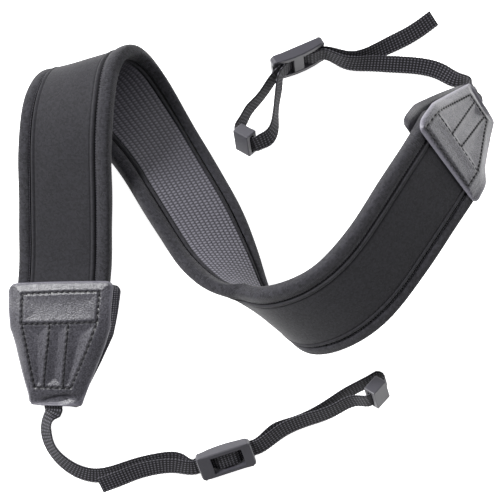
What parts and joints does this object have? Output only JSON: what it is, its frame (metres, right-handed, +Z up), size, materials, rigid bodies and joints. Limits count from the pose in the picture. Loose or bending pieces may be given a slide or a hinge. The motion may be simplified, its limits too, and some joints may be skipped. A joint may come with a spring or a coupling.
{
  "type": "camera neck strap",
  "caption": "Padded camera neck strap with leatherette end tabs and narrow webbings looped through ladder buckles and square sleeves, lying curled on a table.",
  "frame": {"origin": "Middle of the box that holds the strap, on the floor that it lies on.", "axes": "+Z is up. +Y is the top of the picture and +X its right side: the pad's first run lies along -X and the cut webbing end of the right side points to +X and +Y."},
  "size_m": [0.261, 0.2592, 0.0832],
  "materials": {
    "neoprene": "smooth charcoal neoprene with a fine even grain",
    "grip": "textured non-slip basket weave",
    "knit": "fine ribbed knit edge binding",
    "leatherette": "grained leatherette, satin",
    "webbing": "ribbed nylon webbing",
    "plastic": "satin black moulded plastic"
  },
  "bodies": {
    "root": {"neck_pad": "neoprene", "grip_lining": "grip", "edge_binding_left": "knit", "edge_binding_right": "knit", "tab_front_left": "leatherette", "tab_front_right": "leatherette", "tab_back_left": "leatherette", "tab_back_right": "leatherette", "webbing_left": "webbing", "webbing_right": "webbing", "buckle_left": "plastic", "buckle_right": "plastic", "keeper_left": "plastic", "keeper_right": "plastic"}
  },
  "joints": []
}
